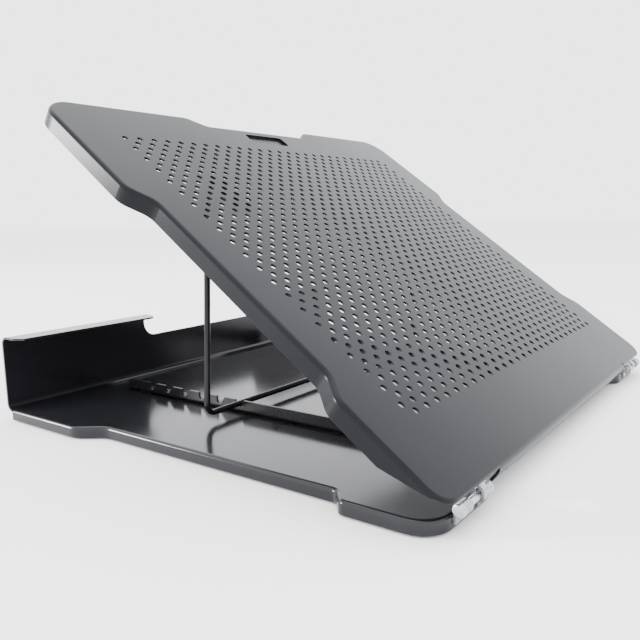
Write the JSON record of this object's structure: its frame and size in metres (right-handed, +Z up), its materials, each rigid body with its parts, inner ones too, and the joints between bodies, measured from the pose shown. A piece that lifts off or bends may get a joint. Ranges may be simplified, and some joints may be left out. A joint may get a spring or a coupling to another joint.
{
  "type": "laptop stand",
  "caption": "Folded sheet-steel laptop stand: a perforated platform hinged along its front edge over a base pan, propped at set angles by a wire frame in notched racks.",
  "frame": {"origin": "on the desk, under the middle of the stand's width and depth", "axes": "+X to the user's right, +Y from the user to the back, +Z up"},
  "size_m": [0.38, 0.3366, 0.2106],
  "materials": {
    "platform_paint": "semi-gloss dark gunmetal powder coat",
    "base_paint": "glossy dark gunmetal powder coat",
    "bracket_paint": "dark semi-gloss powder coat",
    "wire_paint": "gloss black enamel on drawn steel wire",
    "hinge_zinc": "bright zinc plating",
    "foot_rubber": "matt moulded rubber"
  },
  "bodies": {
    "base": {"base_pan": "base_paint", "left_rack": "base_paint", "right_rack": "base_paint", "left_outer_hinge_strap": "hinge_zinc", "left_inner_hinge_strap": "hinge_zinc", "right_outer_hinge_strap": "hinge_zinc", "right_inner_hinge_strap": "hinge_zinc", "left_hinge_pin": "hinge_zinc", "right_hinge_pin": "hinge_zinc", "left_pin_retainer": "hinge_zinc", "right_pin_retainer": "hinge_zinc", "front_left_foot": "foot_rubber", "front_right_foot": "foot_rubber", "rear_left_foot": "foot_rubber", "rear_right_foot": "foot_rubber"},
    "platform": {"platform_plate": "platform_paint", "left_hinge_leaf": "hinge_zinc", "right_hinge_leaf": "hinge_zinc", "left_pivot_bracket": "bracket_paint", "right_pivot_bracket": "bracket_paint"},
    "wire": {"support_wire": "wire_paint"}
  },
  "joints": [
    {"name": "platform_tilt", "type": "hinge", "parent": "base", "child": "platform", "pos_m": [0, -0.16495, 0.0106], "axis": [1, 0, 0], "range_deg": [0, 52]},
    {"name": "wire_swing", "type": "hinge", "parent": "platform", "child": "wire", "pos_m": [0, 0.02537, 0.15127], "axis": [1, 0, 0], "range_deg": [-52, 0]}
  ],
  "couplings": [
    {"joint": "wire_swing", "follows": "platform_tilt", "ratio": -1}
  ]
}
